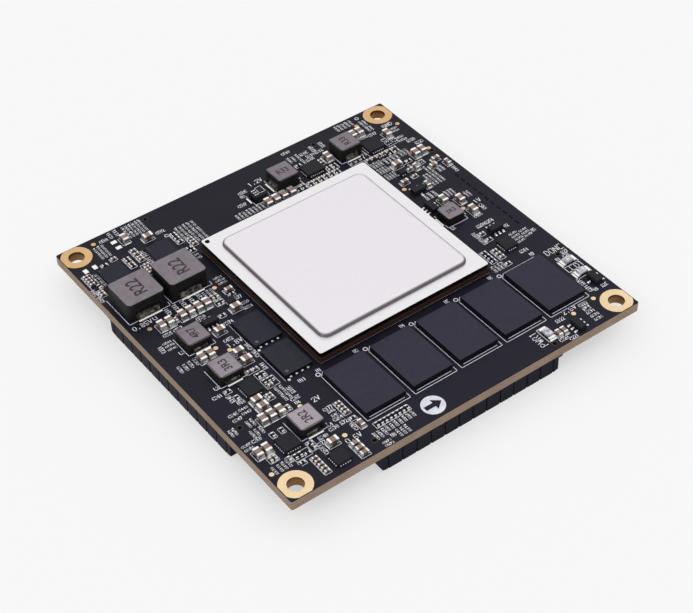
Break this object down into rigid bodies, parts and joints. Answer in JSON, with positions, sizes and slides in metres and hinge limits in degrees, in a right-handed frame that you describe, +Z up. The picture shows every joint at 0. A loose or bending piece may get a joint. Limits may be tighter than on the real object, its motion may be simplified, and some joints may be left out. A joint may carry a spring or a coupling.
{
  "type": "system on module",
  "caption": "Square computing module: a dark circuit board with a lidded processor, memory chips, power inductors and small parts on top, and slotted board-to-board connectors under its edges.",
  "frame": {"origin": "middle of the square outline, at the connectors' mating face", "axes": "+Z up out of the board's populated face, +X along the edge with the memory chips, +Y away from it"},
  "size_m": [0.08, 0.08, 0.01],
  "materials": {
    "solder_mask": "semi-gloss solder mask on a laminate",
    "gold_plating": "bright plating",
    "tin": "bright tinned metal",
    "substrate": "dull laminate",
    "silicon": "smooth",
    "thermal_paste": "soft paste",
    "adhesive": "dull",
    "lid_metal": "pale matte plating",
    "mould_compound": "fine matte",
    "inductor_block": "pressed powder, matte",
    "capacitor_ceramic": "smooth fired ceramic",
    "lamp_ceramic": "matte white",
    "lamp_lens": "clear to milky resin",
    "connector_plastic": "fine matte moulding"
  },
  "bodies": {
    "root": {"circuit_board": "solder_mask", "mounting_hole_plating": "gold_plating", "test_pads": "gold_plating", "bare_solder_pads": "tin", "processor_solder_balls": "tin", "processor_substrate": "substrate", "processor_die": "silicon", "processor_thermal_paste": "thermal_paste", "processor_lid_adhesive": "adhesive", "processor_lid": "lid_metal", "memory_chip_1": "mould_compound", "memory_chip_2": "mould_compound", "memory_chip_3": "mould_compound", "memory_chip_4": "mould_compound", "memory_chip_5": "mould_compound", "memory_solder_balls": "tin", "flash_chip_1": "mould_compound", "flash_chip_2": "mould_compound", "flash_chip_pads": "tin", "core_inductor_1": "inductor_block", "core_inductor_2": "inductor_block", "core_inductor_terminals": "tin", "low_inductor_1": "inductor_block", "low_inductor_2": "inductor_block", "low_inductor_3": "inductor_block", "low_inductor_terminals": "tin", "tall_inductor_1": "inductor_block", "tall_inductor_2": "inductor_block", "tall_inductor_terminals": "tin", "east_inductor": "inductor_block", "black_inductor": "mould_compound", "small_inductor_terminals": "tin", "power_stage_1": "mould_compound", "power_stage_2": "mould_compound", "power_stage_pads": "tin", "regulator_chips": "mould_compound", "regulator_chip_pads": "tin", "leaded_chip_bodies": "mould_compound", "leaded_chip_leads": "tin", "lamp_bases": "lamp_ceramic", "lamp_lenses": "lamp_lens", "lamp_terminals": "tin", "large_capacitor_bodies": "capacitor_ceramic", "large_capacitor_terminals": "tin", "medium_capacitor_bodies": "capacitor_ceramic", "medium_capacitor_terminals": "tin", "small_capacitor_bodies": "capacitor_ceramic", "small_capacitor_terminals": "tin", "small_resistor_bodies": "mould_compound", "small_resistor_terminals": "tin", "underside_capacitor_bodies": "capacitor_ceramic", "underside_capacitor_terminals": "tin", "connector_housing_south": "connector_plastic", "connector_housing_east": "connector_plastic", "connector_housing_north": "connector_plastic", "connector_housing_west": "connector_plastic", "connector_contacts_south": "gold_plating", "connector_contacts_east": "gold_plating", "connector_contacts_north": "gold_plating", "connector_contacts_west": "gold_plating"}
  },
  "joints": []
}
